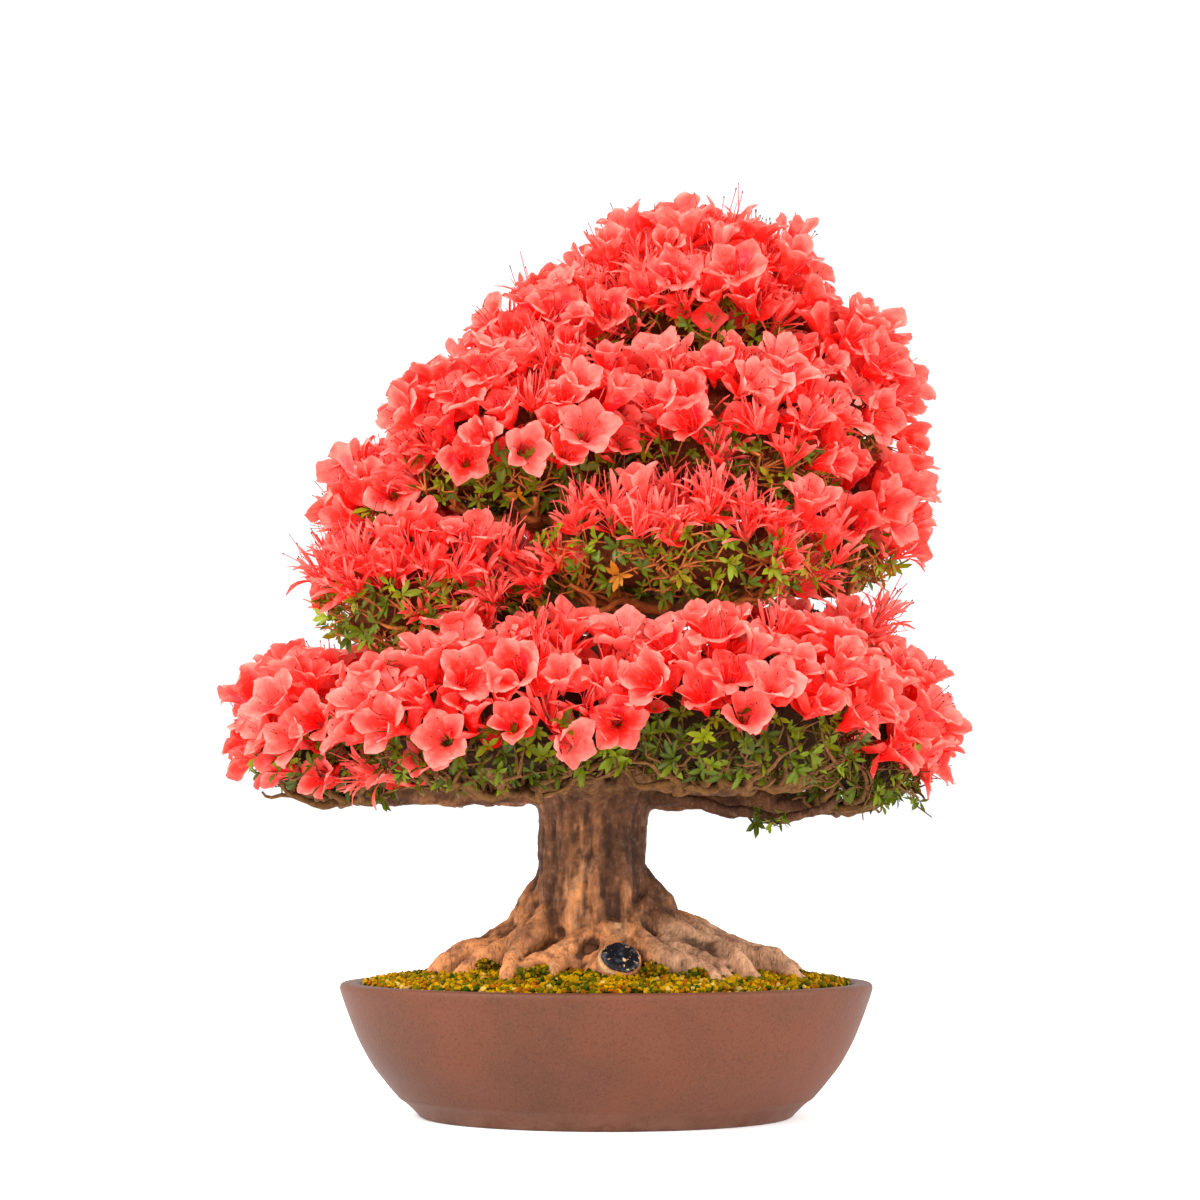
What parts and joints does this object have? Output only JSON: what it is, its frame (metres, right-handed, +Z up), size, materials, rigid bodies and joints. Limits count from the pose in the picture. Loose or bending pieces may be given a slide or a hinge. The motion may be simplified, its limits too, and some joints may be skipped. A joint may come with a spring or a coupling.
{
  "type": "satsuki azalea bonsai in an oval pot",
  "caption": "Trained azalea tree with a flared, rooted trunk and tiered pads of leaves and red-pink blooms, growing in soil in a shallow oval clay pot; it stands on the pot's foot ring.",
  "frame": {"origin": "on the surface that the pot stands on, under the middle of the whole plant's box", "axes": "+Z up along the tree's height, the tree's front faces -Y, +X to the right of the front view"},
  "size_m": [0.5501, 0.4462, 0.6991],
  "materials": {
    "unglazed_clay": "matte",
    "drain_plastic": "matte",
    "granular_soil": "matte",
    "bark": "matte",
    "wound_paste": "satin",
    "leaf": "satin",
    "petal": "matte"
  },
  "bodies": {
    "root": {"pot": "unglazed_clay", "drain_mesh_left": "drain_plastic", "drain_mesh_right": "drain_plastic", "soil": "granular_soil", "tree": "bark", "cut_seal": "wound_paste", "low_left_leaves": "leaf", "low_left_blooms": "petal", "low_front_left_leaves": "leaf", "low_front_left_blooms": "petal", "low_front_right_leaves": "leaf", "low_front_right_blooms": "petal", "low_right_leaves": "leaf", "low_right_blooms": "petal", "low_back_right_leaves": "leaf", "low_back_right_blooms": "petal", "low_back_left_leaves": "leaf", "low_back_left_blooms": "petal", "shelf_right_leaves": "leaf", "shelf_right_blooms": "petal", "mid_left_leaves": "leaf", "mid_left_blooms": "petal", "mid_front_leaves": "leaf", "mid_front_blooms": "petal", "mid_right_leaves": "leaf", "mid_right_blooms": "petal", "mid_back_leaves": "leaf", "mid_back_blooms": "petal", "high_left_leaves": "leaf", "high_left_blooms": "petal", "high_front_left_leaves": "leaf", "high_front_left_blooms": "petal", "high_front_right_leaves": "leaf", "high_front_right_blooms": "petal", "high_right_leaves": "leaf", "high_right_blooms": "petal", "high_back_leaves": "leaf", "high_back_blooms": "petal", "shoulder_left_leaves": "leaf", "shoulder_left_blooms": "petal", "apex_leaves": "leaf", "apex_blooms": "petal"}
  },
  "joints": []
}
